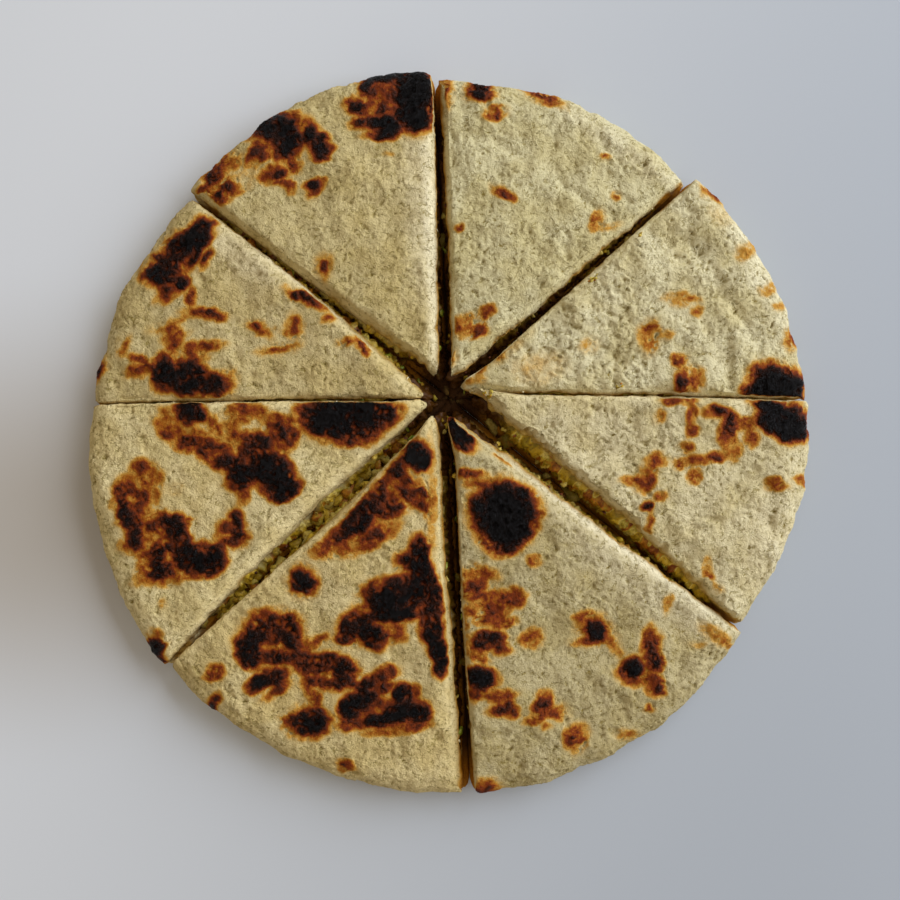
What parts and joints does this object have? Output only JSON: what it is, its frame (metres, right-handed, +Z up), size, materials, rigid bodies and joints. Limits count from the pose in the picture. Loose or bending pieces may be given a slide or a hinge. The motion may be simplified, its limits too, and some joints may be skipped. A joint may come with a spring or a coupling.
{
  "type": "paneer kulcha",
  "caption": "Round griddled flatbread with scorch marks, stuffed with a thin layer of spiced curd cheese and cut into wedges that still stand together as a whole.",
  "frame": {"origin": "centre of the bread's outline on the surface it rests on, so the flat underside is at z = 0", "axes": "+Z up through the bread's thickness; +X and +Y lie in the surface, with +Y towards the wedges called 1 and 2 and +X towards the cut between wedges 3 and 4"},
  "size_m": [0.1998, 0.2002, 0.0142],
  "materials": {
    "dough": "griddled wheat dough, matt and slightly floury, with golden to black scorch marks",
    "filling": "moist crumbled curd cheese coloured by turmeric, with green chilli and spice specks"
  },
  "bodies": {
    "root": {"wedge_1_dough": "dough", "wedge_1_filling": "filling", "wedge_2_dough": "dough", "wedge_2_filling": "filling", "wedge_3_dough": "dough", "wedge_3_filling": "filling", "wedge_4_dough": "dough", "wedge_4_filling": "filling", "wedge_5_dough": "dough", "wedge_5_filling": "filling", "wedge_6_dough": "dough", "wedge_6_filling": "filling", "wedge_7_dough": "dough", "wedge_7_filling": "filling", "wedge_8_dough": "dough", "wedge_8_filling": "filling"}
  },
  "joints": []
}
